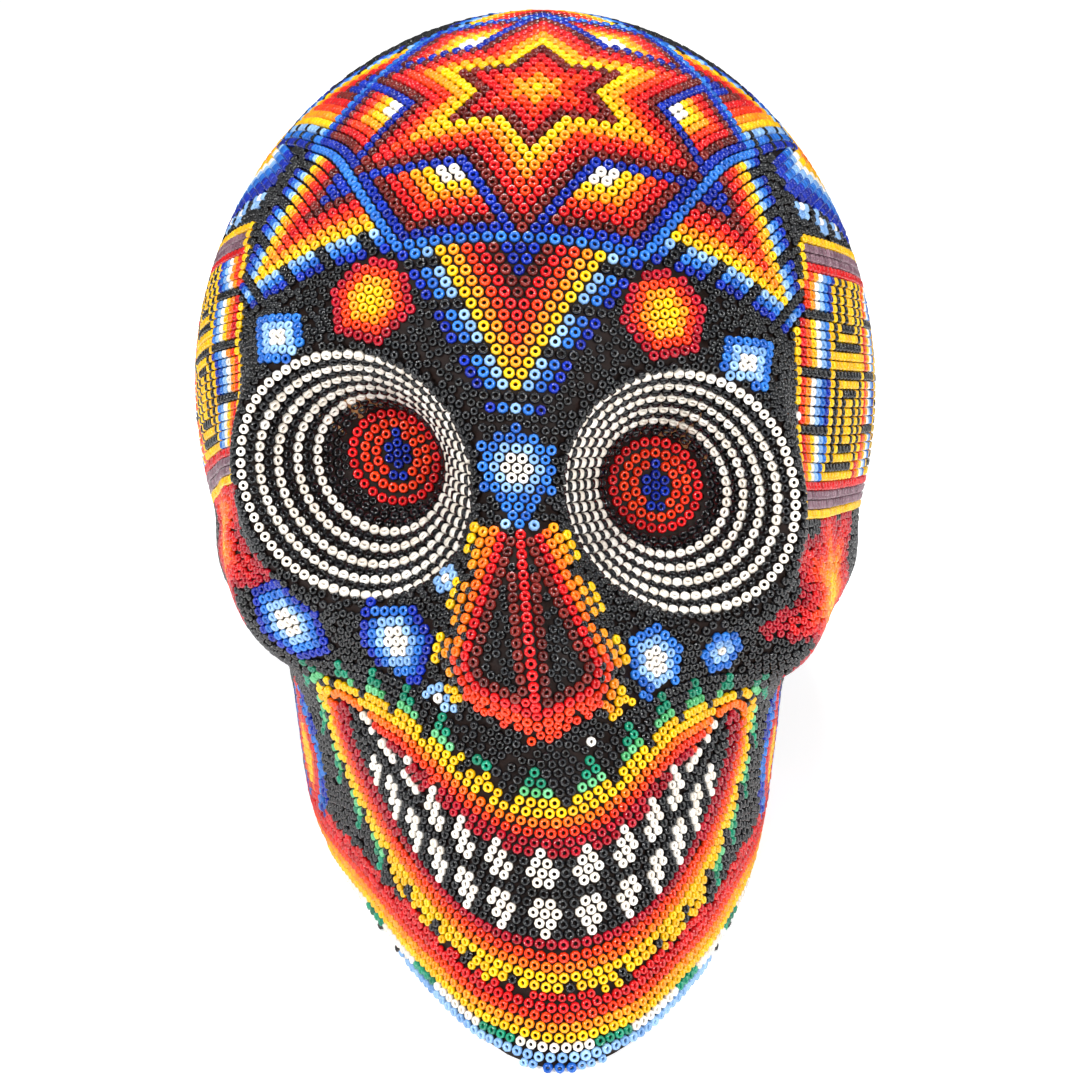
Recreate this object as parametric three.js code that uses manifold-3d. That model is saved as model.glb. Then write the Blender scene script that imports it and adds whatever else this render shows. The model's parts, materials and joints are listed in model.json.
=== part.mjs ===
// A beaded skull: a solid wooden skull on a flat base, coated with wax, with glass seed beads pressed into the wax.
// The skull is sculpted in its face frame: +X to the viewer's right, +Y into the head, +Z up the face.
// At the end it is leaned back to stand on its jaw and the back of its head. All sizes are in millimetres.
import * as THREE from "three";
import { ConvexHull } from "three/addons/math/ConvexHull.js";
import { mergeVertices } from "three/addons/utils/BufferGeometryUtils.js";
import Module from "manifold-3d";

// ---- Driving sizes of the skull, measured to the tops of the beads ----
const CRANIUM = { centre: [0, 14, 33], radii: [76, 93, 84] };
const MIDFACE = { centre: [0, -40, 0], radii: [58, 37, 40] };
const BROW = { inner: [0, -66, 22], outer: [40, -55, 31], radius: 11 };
const CHEEK = { front: [44, -40, -12], back: [60, 6, -4], frontRadius: 14.5, backRadius: 10 };
const NOSE = { root: [0, -71, 6], tip: [0, -79, -21], rootRadius: 8, tipRadius: 15 };
const NOSTRIL = { centre: [6.8, -95, -16], radii: [4.6, 5, 14] };
const EYE = { centre: [30.5, -68, 10], rim: 21.5, floor: 9.8, depth: 19, inward: 0.2, upward: 0.1, boss: 4.5, flare: 0.35 };
const JAW = { front: -87, halfWidth: 56, back: 26, top: -8, roundness: 0.023, chinRoundness: 0.036, chin: -93 };
const LEAN_BACK = 24; // degrees
const FOOT = { front: [0, -80, -93], margin: 7, round: 11 }; // the base plane passes under the front of the chin
const HANDMADE = { sway: 4, swayHeight: 27, swaySpan: 120, slant: 0.065, slantHeight: 15, slantSpan: 50 };
const LEFT_WELL = { across: 2.7, up: 3.2, reach: 15 }; // the bottom of the left socket is off its middle

// ---- Layers, from the bead tops inwards ----
const BEAD_HEIGHT = 1.4;
const WAX_THICKNESS = 1.2;
const CLEARANCE = 0.3;
const JOINT_GAP = 0.5; // between the bead fields
const WAX_RISE = 0.5; // wax stops this far above the base
const BEAD_RISE = 0.9; // beads stop this far above the base

// ---- Motif sizes ----
const STAR_TIP = 40.7; // from the middle of the crown star to a tip
const RAY_SIDE = 33;
const FLOWER_RADIUS = 9;
const RIM_WIDTH = 3;
const FINE = 7.5; // spacing of the surface points on the face
const COARSE = 13.5; // and on the rest of the head

const HEART = new THREE.Vector3(0, 25, -5); // every surface can be seen from here
const FAR = 400;
const STEEPEST = 3.2;
const radians = THREE.MathUtils.degToRad;
const { sin, cos, PI, exp } = Math;
const V = (x, y, z) => new THREE.Vector3(x, y, z);
const wasm = await Module();
wasm.setup();

// ---- Blending and distance helpers ----
const smallest = (a, b, blend) => {
  const h = Math.max(blend - Math.abs(a - b), 0) / blend;
  return Math.min(a, b) - (h * h * blend) / 4;
};
const largest = (a, b, blend) => -smallest(-a, -b, blend);

function ellipsoid(p, { centre, radii }) {
  const q = [(p.x - centre[0]) / radii[0], (p.y - centre[1]) / radii[1], (p.z - centre[2]) / radii[2]];
  const inner = Math.hypot(...q);
  const outer = Math.hypot(q[0] / radii[0], q[1] / radii[1], q[2] / radii[2]);
  return outer ? (inner * (inner - 1)) / outer : -Math.min(...radii);
}

function taperedBar(p, start, end, startRadius, endRadius) {
  const along = V(...end).sub(V(...start));
  const rel = p.clone().sub(V(...start));
  const t = THREE.MathUtils.clamp(rel.dot(along) / along.lengthSq(), 0, 1);
  return rel.addScaledVector(along, -t).length() - THREE.MathUtils.lerp(startRadius, endRadius, t);
}

// ---- The socket of one eye: a tapered round well with a flat floor, seen on its +X side ----
const EYE_CENTRE = V(...EYE.centre);
const EYE_AXIS = V(-EYE.inward, 1, EYE.upward).normalize(); // into the head
function inSocket(p) {
  const rel = V(Math.abs(p.x), p.y, p.z).sub(EYE_CENTRE);
  const depth = rel.dot(EYE_AXIS);
  return { depth, radius: rel.addScaledVector(EYE_AXIS, -depth).length() };
}
function wallRadius(depth) {
  const wall = THREE.MathUtils.lerp(EYE.rim, EYE.floor, THREE.MathUtils.clamp(depth / EYE.depth, 0, 1));
  return wall + EYE.flare * Math.max(-depth, 0);
}

// ---- The height of a point above the base plane ----
const UP = V(0, -Math.sin(radians(LEAN_BACK)), Math.cos(radians(LEAN_BACK)));
const BASE = UP.dot(V(...FOOT.front));
const height = (p) => UP.dot(p) - BASE;

function jaw(p) {
  const down = THREE.MathUtils.clamp((p.z + 30) / (JAW.chin + 30), 0, 1);
  const roundness = THREE.MathUtils.lerp(JAW.roundness, JAW.chinRoundness, down);
  const front = JAW.front + 0.12 * Math.max(p.z + 40, 0);
  const slope = Math.hypot(1, 2 * roundness * p.x);
  const face = (front + roundness * p.x * p.x - p.y) / slope;
  const side = Math.abs(p.x) - JAW.halfWidth + 5 * down;
  return largest(largest(face, side, 14), largest(p.y - JAW.back, p.z - JAW.top, 8), 12);
}

// The skull's surface is where this is zero; it is negative inside, and close to the distance nearby.
function skull(p) {
  const side = V(Math.abs(p.x), p.y, p.z);
  const { depth, radius } = inSocket(p);
  let d = ellipsoid(p, CRANIUM);
  d = smallest(d, ellipsoid(p, MIDFACE), 14);
  d = smallest(d, taperedBar(side, BROW.inner, BROW.outer, BROW.radius, BROW.radius), 8);
  d = smallest(d, taperedBar(side, CHEEK.front, CHEEK.back, CHEEK.frontRadius, CHEEK.backRadius), 10);
  d = smallest(d, jaw(p), 7);
  const boss = largest(radius - EYE.rim - EYE.boss, Math.abs(depth - EYE.depth / 2) - EYE.depth / 2, 5);
  d = smallest(d, boss, 7);
  d = smallest(d, taperedBar(p, NOSE.root, NOSE.tip, NOSE.rootRadius, NOSE.tipRadius), 5);
  const taper = Math.cos(Math.atan2(EYE.rim - EYE.floor, EYE.depth));
  d = largest(d, -largest((radius - wallRadius(depth)) * taper, depth - EYE.depth, 2), 2.5);
  d = largest(d, -ellipsoid(side, NOSTRIL), 2.5);
  return largest(d, -height(p) - FOOT.margin, FOOT.round);
}

// The first point on a ray where the skull, set in by inset, changes from one side to the other.
function cast(from, direction, inset = 0) {
  const value = (t) => skull(from.clone().addScaledVector(direction, t)) + inset;
  const begin = Math.sign(value(0));
  const step = 1.5;
  let t = step;
  while (t < FAR && Math.sign(value(t)) === begin) t += step;
  let low = t - step;
  for (let i = 0; i < 18; i++) {
    const middle = (low + t) / 2;
    if (Math.sign(value(middle)) === begin) low = middle;
    else t = middle;
  }
  return from.clone().addScaledVector(direction, t);
}
const facing = (p) => p.clone().sub(HEART).normalize();

// ---- Charts: flat drawings laid on one side of the head ----
const CROWN_MIDDLE = V(0, 14, 28);
const CROWN_RADIUS = 90;
const CROWN_OUT = V(0, -70, 60).normalize();
const CROWN_UP = V(0, 60, 70).normalize();
const CROWN_DROP = 1.3; // the star sits a little low, and its rows lie closer up and down than across
const CROWN_SQUASH = 0.88;
const crownChart = {
  place: (u, tall) => {
    const v = tall * CROWN_SQUASH - CROWN_DROP;
    const reach = Math.hypot(u, v) / CROWN_RADIUS;
    const turn = Math.atan2(v, u);
    const out = CROWN_OUT.clone().multiplyScalar(Math.cos(reach));
    out.addScaledVector(V(1, 0, 0), Math.sin(reach) * Math.cos(turn));
    out.addScaledVector(CROWN_UP, Math.sin(reach) * Math.sin(turn));
    return cast(CROWN_MIDDLE, out);
  },
  read: (p) => {
    const out = p.clone().sub(CROWN_MIDDLE).normalize();
    const reach = Math.acos(THREE.MathUtils.clamp(out.dot(CROWN_OUT), -1, 1)) * CROWN_RADIUS;
    const turn = Math.atan2(out.dot(CROWN_UP), out.x);
    return reach < 100 ? [reach * Math.cos(turn), (reach * Math.sin(turn) + CROWN_DROP) / CROWN_SQUASH] : null;
  },
};
const frontChart = {
  place: (u, v) => cast(V(u, -FAR / 2, v), V(0, 1, 0)),
  read: (p) => (p.y < -12 ? [p.x, p.z] : null),
};
const backChart = {
  place: (u, v) => cast(V(u, FAR / 2, v), V(0, -1, 0)),
  read: (p) => (p.y > 40 ? [p.x, p.z] : null),
};
const sideChart = (side) => ({
  place: (u, v) => cast(V((side * FAR) / 2, u, v), V(-side, 0, 0)),
  read: (p) => (p.x * side > 30 ? [p.y, p.z] : null),
});

// ---- Outlines ----
const ring = (x, y, radius, count, squash = 1, start = 0) =>
  Array.from({ length: count }, (_, i) => {
    const turn = start + (i / count) * 2 * Math.PI;
    return [x + radius * Math.cos(turn), y + radius * squash * Math.sin(turn)];
  });
const turned = (outline, angle) =>
  outline.map(([x, y]) => [
    x * Math.cos(angle) - y * Math.sin(angle),
    x * Math.sin(angle) + y * Math.cos(angle),
  ]);
const mirrored = (outline, side) => outline.map(([x, y]) => [side * x, y]);
function inside([x, y], outline) {
  let within = false;
  outline.forEach(([bx, by], i) => {
    const [ax, ay] = outline[(i + outline.length - 1) % outline.length];
    if (ay > y !== by > y && x < ((bx - ax) * (y - ay)) / (by - ay) + ax) within = !within;
  });
  return within;
}
// The outline's corners, with points between them no further apart than the spacing.
function walked(outline, spacing) {
  return outline.flatMap(([ax, ay], i) => {
    const [bx, by] = outline[(i + 1) % outline.length];
    const steps = Math.max(1, Math.round(Math.hypot(bx - ax, by - ay) / spacing));
    return Array.from({ length: steps }, (_, k) => [ax + ((bx - ax) * k) / steps, ay + ((by - ay) * k) / steps]);
  });
}

const STAR_EDGE = STAR_TIP / Math.sqrt(3);
const sixth = Math.PI / 3;
const star = Array.from({ length: 12 }, (_, i) => {
  const reach = i % 2 ? STAR_EDGE : STAR_TIP;
  const turn = Math.PI / 2 + (i * sixth) / 2;
  return [reach * Math.cos(turn), reach * Math.sin(turn)];
});
// A rhombus fills the corner between two arms of the star; a ray stands on the hexagon that they make.
const rhombus = [
  [STAR_EDGE, 0],
  [STAR_EDGE * 1.5, STAR_EDGE * Math.sin(sixth)],
  [STAR_EDGE * 2, 0],
  [STAR_EDGE * 1.5, -STAR_EDGE * Math.sin(sixth)],
];
const ray = [
  [-RAY_SIDE / 2, STAR_TIP],
  [RAY_SIDE / 2, STAR_TIP],
  [0, STAR_TIP + RAY_SIDE * Math.sin(sixth)],
];
const nose = [
  [-6.5, 3],
  [6.5, 3],
  [15, -20],
  [11, -30],
  [0, -36],
  [-11, -30],
  [-15, -20],
];
// The mouth is a crescent between two arcs that run round the front of the jaw.
const crescent = (reach, endHeight, upperDip, lowerDip) => {
  const steps = 6;
  const arc = (dip, from, to) =>
    Array.from({ length: steps }, (_, i) => {
      const t = from + ((to - from) * i) / steps;
      return [reach * t, endHeight - dip * (1 - t * t)];
    });
  return [...arc(lowerDip, -1, 1), ...arc(upperDip, 1, -1)];
};
const lips = crescent(46, -30, 22, 50);
const teeth = crescent(35, -37, 21, 36);
const panel = [
  [-36, 63],
  [22, 63],
  [22, 7],
  [-50, 7],
  [-44, 40],
];
const chinStrip = [
  [-60, -110],
  [60, -110],
  [60, -44],
  [44, -40],
  [30, -64],
  [0, -80.5],
  [-30, -64],
  [-44, -40],
  [-60, -44],
];

// ---- Bead fields, in the order in which they claim the surface ----
const fields = [];
const addField = (name, colour, chart, outline, spacing = 0) =>
  fields.push({ name, colour, chart, outline, points: spacing ? walked(outline, spacing) : [] });
const numbered = (name, count, make) => {
  for (let i = 0; i < count; i++) make(`${name}_${i + 1}`, i * sixth);
};
addField("crown_star", "#d2231c", crownChart, star, 9);
numbered("crown_rhombus", 6, (name, angle) => addField(name, "#e8731a", crownChart, turned(rhombus, angle), 9));
numbered("crown_ray", 6, (name, angle) => addField(name, "#f2b31b", crownChart, turned(ray, angle), 12));
addField("nose_beads", "#e0401c", frontChart, nose, 9);
addField("teeth_beads", "#f3ead9", frontChart, teeth, 9);
addField("lip_beads", "#f7a81b", frontChart, lips, 9);
addField("brow_flower", "#3f86d8", frontChart, ring(0, 14, 7, 6), 9);
for (const [label, side] of [["left", -1], ["right", 1]]) {
  const front = (name, colour, outline) => addField(`${label}_${name}`, colour, frontChart, mirrored(outline, side), 9);
  front("forehead_flower", "#f06a1e", ring(27.5, 43, FLOWER_RADIUS, 6));
  front("cheek_flower_inner", "#2f6fd0", ring(24, -21, 8, 6, 1.1));
  front("cheek_flower_outer", "#2f6fd0", ring(43.5, -18.5, 7, 6));
  const flank = sideChart(side);
  addField(`${label}_temple_panel`, "#f0c419", flank, panel, 13);
  addField(`${label}_cheek_flame`, "#e8451d", flank, ring(-31, -7, 17, 8, 0.75), 12);
  addField(`${label}_parietal_sun`, "#2f6fd0", flank, ring(62, 52, 26, 8, 1.1), 14);
}
addField("nape_star", "#e8731a", backChart, ring(0, 45, 30, 9), 14);
addField("chin_beads", "#ee5a1c", frontChart, chinStrip, 10);
// What is left over is black ground, split where the motifs part it.
const grounds = [
  { name: "left_forehead_ground", within: (p) => p.y < -12 && p.z > 6 && p.x < 0 },
  { name: "right_forehead_ground", within: (p) => p.y < -12 && p.z > 6 },
  { name: "upper_lip_ground", within: (p) => p.y < -12 && Math.abs(p.x) < 22 && p.z < -12 },
  { name: "left_cheek_ground", within: (p) => p.y < 28 && p.z < 6 && p.x < 0 },
  { name: "right_cheek_ground", within: (p) => p.y < 28 && p.z < 6 },
  { name: "left_crown_ground", within: (p) => p.x < 0 },
  { name: "right_crown_ground", within: () => true },
];
const GROUND_COLOUR = "#16161a";

// ---- Surface points: the sockets and outlines first, then an even scatter between them ----
function socketPoints(side) {
  const across = V(0, 0, 1).cross(EYE_AXIS).normalize();
  const up = EYE_AXIS.clone().cross(across);
  const onWall = (share) => [THREE.MathUtils.lerp(EYE.rim, EYE.floor, share), EYE.depth * share];
  const hoops = [[EYE.rim + RIM_WIDTH, 0], [EYE.rim + 0.5, 0], onWall(0.35), onWall(0.7), onWall(1)];
  hoops.push([EYE.floor * 0.5, EYE.depth]);
  return hoops.flatMap(([radius, depth]) =>
    ring(0, 0, radius, 16).map(([a, b]) => {
      const p = EYE_CENTRE.clone().addScaledVector(EYE_AXIS, depth).addScaledVector(across, a).addScaledVector(up, b);
      return V(side * p.x, p.y, p.z);
    }),
  );
}
function surfaceDirections() {
  const kept = [];
  const keep = (p, spacing) => {
    if (kept.some((q) => q.place.distanceTo(p) < Math.min(spacing, q.spacing))) return;
    kept.push({ place: p, spacing });
  };
  for (const side of [-1, 1]) socketPoints(side).forEach((p) => keep(p, 1.5));
  for (const { chart, points } of fields) points.forEach(([u, v]) => keep(chart.place(u, v), 4.5));
  for (let turn = 10; turn < 280; turn += 8) {
    keep(cast(HEART, V(0, sin(radians(turn)), cos(radians(turn)))), 9); // the seam down the back
  }
  const tries = 9000;
  const stride = 3571; // visits the spiral in a scattered order, and shares no factor with the number of tries
  for (let i = 0; i < tries; i++) {
    const k = (i * stride) % tries;
    const z = 1 - (2 * k + 1) / tries;
    const turn = k * Math.PI * (3 - Math.sqrt(5));
    const out = V(Math.sqrt(1 - z * z) * Math.cos(turn), Math.sqrt(1 - z * z) * Math.sin(turn), z);
    const p = cast(HEART, out);
    const spacing = p.y < -20 && p.z < 45 ? FINE : COARSE;
    if (kept.every((q) => q.place.distanceTo(p) > Math.min(spacing, (spacing + q.spacing) * 0.62))) {
      kept.push({ place: p, spacing });
    }
  }
  return kept.map((q) => facing(q.place));
}
const directions = surfaceDirections();
directions.forEach((d, i) => (d.index = i));
const triangles = new ConvexHull().setFromPoints(directions).faces.map((face) => {
  const first = face.edge;
  return [first.head().point.index, first.next.head().point.index, first.next.next.head().point.index];
});
const beadTops = directions.map((d) => cast(HEART, d));
// A layer set in by inset; on a sharp edge, where the ray would run along a wall, it is held near the layer above.
const layer = (inset) =>
  directions.map((d, i) => {
    const reach = cast(HEART, d, inset).distanceTo(HEART);
    const held = beadTops[i].distanceTo(HEART) - STEEPEST * inset;
    return HEART.clone().addScaledVector(d, Math.max(reach, held));
  });

// ---- Which field each triangle belongs to ----
const neighbours = (() => {
  const byEdge = new Map();
  triangles.forEach((t, i) =>
    t.forEach((a, k) => {
      const b = t[(k + 1) % 3];
      const key = Math.min(a, b) + "_" + Math.max(a, b);
      byEdge.set(key, [...(byEdge.get(key) ?? []), i]);
    }),
  );
  const around = triangles.map(() => []);
  for (const [a, b] of byEdge.values()) {
    around[a].push(b);
    around[b].push(a);
  }
  return around;
})();
function fieldAt(p) {
  const { depth, radius } = inSocket(p);
  const label = p.x < 0 ? "left" : "right";
  if (depth > EYE.depth - 2 && radius < EYE.floor) return `${label}_pupil_beads`;
  if (Math.abs(depth - EYE.depth / 2) < 15 && radius < EYE.rim + RIM_WIDTH * 0.9) return `${label}_socket_rings`;
  const claimed = fields.find(({ chart, outline }) => {
    const uv = chart.read(p);
    return uv && inside(uv, outline);
  });
  return claimed ? claimed.name : grounds.find((g) => g.within(p)).name;
}
const fieldOf = triangles.map((t) => {
  const middle = V(0, 0, 0);
  t.forEach((i) => middle.addScaledVector(beadTops[i], 1 / 3));
  return fieldAt(middle);
});
// A triangle held by another field on two sides joins it, and so does a scrap cut off from its field.
for (let pass = 0; pass < 4; pass++) {
  triangles.forEach((_, i) => {
    const others = neighbours[i].map((n) => fieldOf[n]);
    const held = others.find((name, k) => name !== fieldOf[i] && others.indexOf(name) !== k);
    if (held && !others.includes(fieldOf[i])) fieldOf[i] = held;
    else if (held && others.filter((n) => n === fieldOf[i]).length < 1) fieldOf[i] = held;
  });
}
function islands(name) {
  const left = new Set(fieldOf.flatMap((f, i) => (f === name ? [i] : [])));
  const found = [];
  while (left.size) {
    const island = [left.values().next().value];
    left.delete(island[0]);
    for (const i of island) {
      for (const n of neighbours[i]) if (left.delete(n)) island.push(n);
    }
    found.push(island);
  }
  return found.sort((a, b) => b.length - a.length);
}
for (const name of new Set(fieldOf)) {
  for (const scrap of islands(name).slice(1)) {
    const edge = scrap.find((i) => neighbours[i].some((n) => fieldOf[n] !== name));
    const host = fieldOf[neighbours[edge].find((n) => fieldOf[n] !== name)];
    scrap.forEach((i) => (fieldOf[i] = host));
  }
}

// ---- From the face frame to the standing object ----
function handmade(p) {
  const near = THREE.MathUtils.smoothstep(-p.y, -10, 60);
  const phase = THREE.MathUtils.clamp((p.z - HANDMADE.swayHeight) / HANDMADE.swaySpan, -1, 1) * PI;
  const band = exp(-(((p.z - HANDMADE.slantHeight) / HANDMADE.slantSpan) ** 2));
  const { depth, radius } = inSocket(p);
  const well = p.x < 0 ? THREE.MathUtils.smoothstep(depth, -2, 17) * exp(-((radius / LEFT_WELL.reach) ** 2)) : 0;
  const x = p.x - near * HANDMADE.sway * cos(phase) + LEFT_WELL.across * well;
  return V(x, p.y, p.z - near * HANDMADE.slant * band * p.x + LEFT_WELL.up * well);
}
function standing(p) {
  const q = handmade(p);
  const a = radians(LEAN_BACK);
  return V(q.x, q.y * cos(a) + q.z * sin(a), -q.y * sin(a) + q.z * cos(a) - BASE);
}

// ---- Solids ----
function solid(points, faces) {
  const vertProperties = new Float32Array(points.flatMap((p) => [p.x, p.y, p.z]));
  return new wasm.Manifold(new wasm.Mesh({ numProp: 3, vertProperties, triVerts: new Uint32Array(faces.flat()) }));
}
function solidOf(geometry) {
  geometry.deleteAttribute("normal");
  geometry.deleteAttribute("uv");
  const merged = mergeVertices(geometry);
  const vertProperties = merged.attributes.position.array;
  return new wasm.Manifold(new wasm.Mesh({ numProp: 3, vertProperties, triVerts: new Uint32Array(merged.index.array) }));
}
const above = (level) => solidOf(new THREE.BoxGeometry(FAR, FAR, FAR).translate(0, 0, level + FAR / 2));
const closedLayer = (inset) => solid(layer(inset).map(standing), triangles);

function woodCore() {
  return closedLayer(BEAD_HEIGHT + WAX_THICKNESS + 2 * CLEARANCE).intersect(above(0));
}
function waxCoat() {
  const outer = closedLayer(BEAD_HEIGHT + CLEARANCE);
  const inner = closedLayer(BEAD_HEIGHT + CLEARANCE + WAX_THICKNESS);
  return outer.subtract(inner).intersect(above(WAX_RISE));
}
// How much of each corner of a triangle goes into the direction of a point; negative when it is outside the triangle.
function sharesOf(point, triangle) {
  const [a, b, c] = triangle.map((i) => directions[i]);
  const columns = new THREE.Matrix3().set(a.x, b.x, c.x, a.y, b.y, c.y, a.z, b.z, c.z);
  return facing(point).applyMatrix3(columns.invert()).toArray();
}
// The point of a layer's triangle that lies in that direction, or at the triangle's nearest edge.
function onLayer(points, triangle, shares) {
  const out = V(0, 0, 0);
  let closeness = 0;
  triangle.forEach((i, k) => {
    const share = Math.max(shares[k], 0);
    out.addScaledVector(directions[i], share);
    closeness += share / points[i].distanceTo(HEART);
  });
  return out.divideScalar(closeness).add(HEART);
}
// The corner of a field that its triangles in one fan share, drawn in from the field's edge, on both of its layers.
const beadBottoms = layer(BEAD_HEIGHT);
function drawnIn(v, fan) {
  const inward = V(0, 0, 0);
  let opening = 0;
  for (const i of fan) {
    const [a, b] = triangles[i].filter((c) => c !== v).map((c) => beadTops[c].clone().sub(beadTops[v]).normalize());
    const angle = a.angleTo(b);
    opening += angle;
    inward.addScaledVector(a.add(b).normalize(), angle);
  }
  inward.setLength(JOINT_GAP / 2 / Math.max(0.4, sin(Math.min(opening, PI) / 2)));
  const aim = beadTops[v].clone().add(inward);
  const hosts = fan.map((i) => ({ triangle: triangles[i], shares: sharesOf(aim, triangles[i]) }));
  hosts.sort((a, b) => Math.min(...b.shares) - Math.min(...a.shares));
  return [beadTops, beadBottoms].map((points) => onLayer(points, hosts[0].triangle, hosts[0].shares));
}
// The triangles round each corner of a patch, grouped where they meet edge to edge.
function fansOf(patch) {
  const fans = new Map();
  for (const i of patch) {
    for (const v of triangles[i]) {
      const groups = fans.get(v) ?? [];
      const touching = groups.filter((g) => g.some((n) => neighbours[i].includes(n)));
      fans.set(v, [...groups.filter((g) => !touching.includes(g)), [i, ...touching.flat()]]);
    }
  }
  return fans;
}
// One bead field: its patch of the bead tops and of the bead bottoms, with a wall between, clear of the wax.
const aboveWax = closedLayer(BEAD_HEIGHT + CLEARANCE / 2);
const made = [];
function beadField(patch) {
  const own = new Set(patch);
  const points = [];
  const corner = new Map();
  for (const [v, groups] of fansOf(patch)) {
    for (const fan of groups) {
      const onEdge = fan.some((i) => neighbours[i].some((n) => !own.has(n) && triangles[n].includes(v)));
      fan.forEach((i) => corner.set(i + "_" + v, points.length));
      points.push(...(onEdge ? drawnIn(v, fan) : [beadTops[v], beadBottoms[v]]));
    }
  }
  const faces = [];
  for (const i of patch) {
    const [a, b, c] = triangles[i].map((v) => corner.get(i + "_" + v));
    faces.push([a, b, c], [c + 1, b + 1, a + 1]);
    triangles[i].forEach((v, k) => {
      const w = triangles[i][(k + 1) % 3];
      if (neighbours[i].some((n) => own.has(n) && triangles[n].includes(v) && triangles[n].includes(w))) return;
      const [s, e] = [corner.get(i + "_" + v), corner.get(i + "_" + w)];
      faces.push([s, s + 1, e + 1], [s, e + 1, e]);
    });
  }
  let field = solid(points.map(standing), faces).subtract(aboveWax).intersect(above(BEAD_RISE));
  for (const other of made) {
    if (field.intersect(other).volume() > 1e-4) field = field.subtract(other);
  }
  const [largest] = field.decompose().sort((p, q) => q.volume() - p.volume());
  if (largest) made.push(largest);
  return largest;
}

// ---- The scene graph ----
const figure = new THREE.Group();
function addNode(name, made, colour, roughness) {
  const { numProp, numVert, vertProperties, triVerts } = made.getMesh();
  const places = new Float32Array(numVert * 3);
  for (let i = 0; i < numVert; i++) places.set(vertProperties.subarray(i * numProp, i * numProp + 3), i * 3);
  const geometry = new THREE.BufferGeometry();
  geometry.setAttribute("position", new THREE.BufferAttribute(places, 3));
  geometry.setIndex(new THREE.BufferAttribute(triVerts, 1));
  const mesh = new THREE.Mesh(geometry, new THREE.MeshStandardMaterial({ color: colour, roughness, metalness: 0 }));
  mesh.name = name;
  figure.add(mesh);
}
addNode("wood_core", woodCore(), "#9a744a", 0.8);
addNode("wax_coat", waxCoat(), "#5a3a22", 0.6);
const colourOf = new Map(fields.map(({ name, colour }) => [name, colour]));
for (const name of new Set(fieldOf)) {
  const [patch] = islands(name);
  const field = beadField(patch);
  const glass = colourOf.get(name) ?? (/rings|pupil/.test(name) ? "#c8321e" : GROUND_COLOUR);
  if (field) addNode(name, field, glass, 0.15);
}

// The origin is under the middle of the object, on the base.
const box = new THREE.Box3().setFromObject(figure);
const middle = box.getCenter(new THREE.Vector3());
for (const mesh of figure.children) mesh.geometry.translate(-middle.x, -middle.y, 0);
export default figure;
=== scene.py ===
import heapq
import json
import math

import bpy
import numpy as np
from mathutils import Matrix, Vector
from mathutils.bvhtree import BVHTree
from mathutils.kdtree import KDTree


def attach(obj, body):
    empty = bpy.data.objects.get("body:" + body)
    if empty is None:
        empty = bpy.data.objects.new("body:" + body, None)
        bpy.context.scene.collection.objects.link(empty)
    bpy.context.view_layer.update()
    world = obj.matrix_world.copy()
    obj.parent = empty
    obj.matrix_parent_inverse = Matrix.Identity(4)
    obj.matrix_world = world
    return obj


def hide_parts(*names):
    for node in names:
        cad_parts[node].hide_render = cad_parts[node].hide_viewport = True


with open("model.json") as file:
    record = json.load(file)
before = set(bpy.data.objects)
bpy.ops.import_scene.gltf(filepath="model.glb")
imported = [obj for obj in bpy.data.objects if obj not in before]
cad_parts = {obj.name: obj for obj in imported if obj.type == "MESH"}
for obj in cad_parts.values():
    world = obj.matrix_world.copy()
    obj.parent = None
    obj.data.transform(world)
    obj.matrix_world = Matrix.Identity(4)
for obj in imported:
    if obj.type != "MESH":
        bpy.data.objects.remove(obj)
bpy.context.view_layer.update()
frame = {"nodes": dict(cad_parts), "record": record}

# A bead-covered wooden skull. Lengths are in millimetres in the upright face frame (x to the right,
# y into the head, z up) until packed() turns them into metres of the standing object.
rng = np.random.default_rng(20)
PITCH = 2.12  # 11/0 seed beads lie this far apart
ROW = 1.84  # and their nested rows this far
BEAD_LEVEL = -0.72  # the middle of a bead under the surface that the bead tops touch
WAX_LEVEL = -1.05

# ---- The skull's surface, as one distance function ----
CRANIUM = ((0, 14, 33), (76, 93, 84))
MIDFACE = ((0, -40, 0), (58, 37, 40))
NOSTRIL = ((6.8, -95, -16), (4.6, 5, 14))
BROW = ((0, -66, 22), (40, -55, 31), 11, 11)
CHEEKBONE = ((44, -40, -12), (60, 6, -4), 14.5, 10)
NOSE_BRIDGE = ((0, -71, 6), (0, -79, -21), 8, 15)
LEAN = math.radians(24)
UP = np.array((0, -math.sin(LEAN), math.cos(LEAN)))
BASE = float(UP @ (0, -80, -93))
EYE = np.array((30.5, -68, 10))
EYE_AXIS = np.array((-0.2, 1, 0.1)) / math.sqrt(1.05)
RIM, FLOOR, DEPTH = 21.5, 9.8, 19.0
HEART = np.array((0, 25, -5))
SWAY, DROOP = 4, 0.065  # how far the carved face leans aside, and how much one side hangs lower
WELL_ACROSS, WELL_UP, WELL_REACH = 2.7, 3.2, 15  # how far the left socket drifts as it deepens
mount = np.array(frame["record"]["mounts"][0]["pos_m"]) * 1000
SHIFT = mount - (0, -40, 0)


def length(v):
    return np.sqrt((v * v).sum(-1))


def unit(v):
    return v / length(v)[..., None]


def blend_min(a, b, reach):
    """The smaller distance, rounded over where the two meet."""
    h = np.maximum(reach - np.abs(a - b), 0) / reach
    return np.minimum(a, b) - h * h * reach / 4


def blend_max(a, b, reach):
    return -blend_min(-a, -b, reach)


def egg(p, shape):
    """Distance to an ellipsoid of this middle and these half widths."""
    q = (p - shape[0]) / shape[1]
    inner = length(q)
    return inner * (inner - 1) / np.maximum(length(q / shape[1]), 1e-9)


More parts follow.
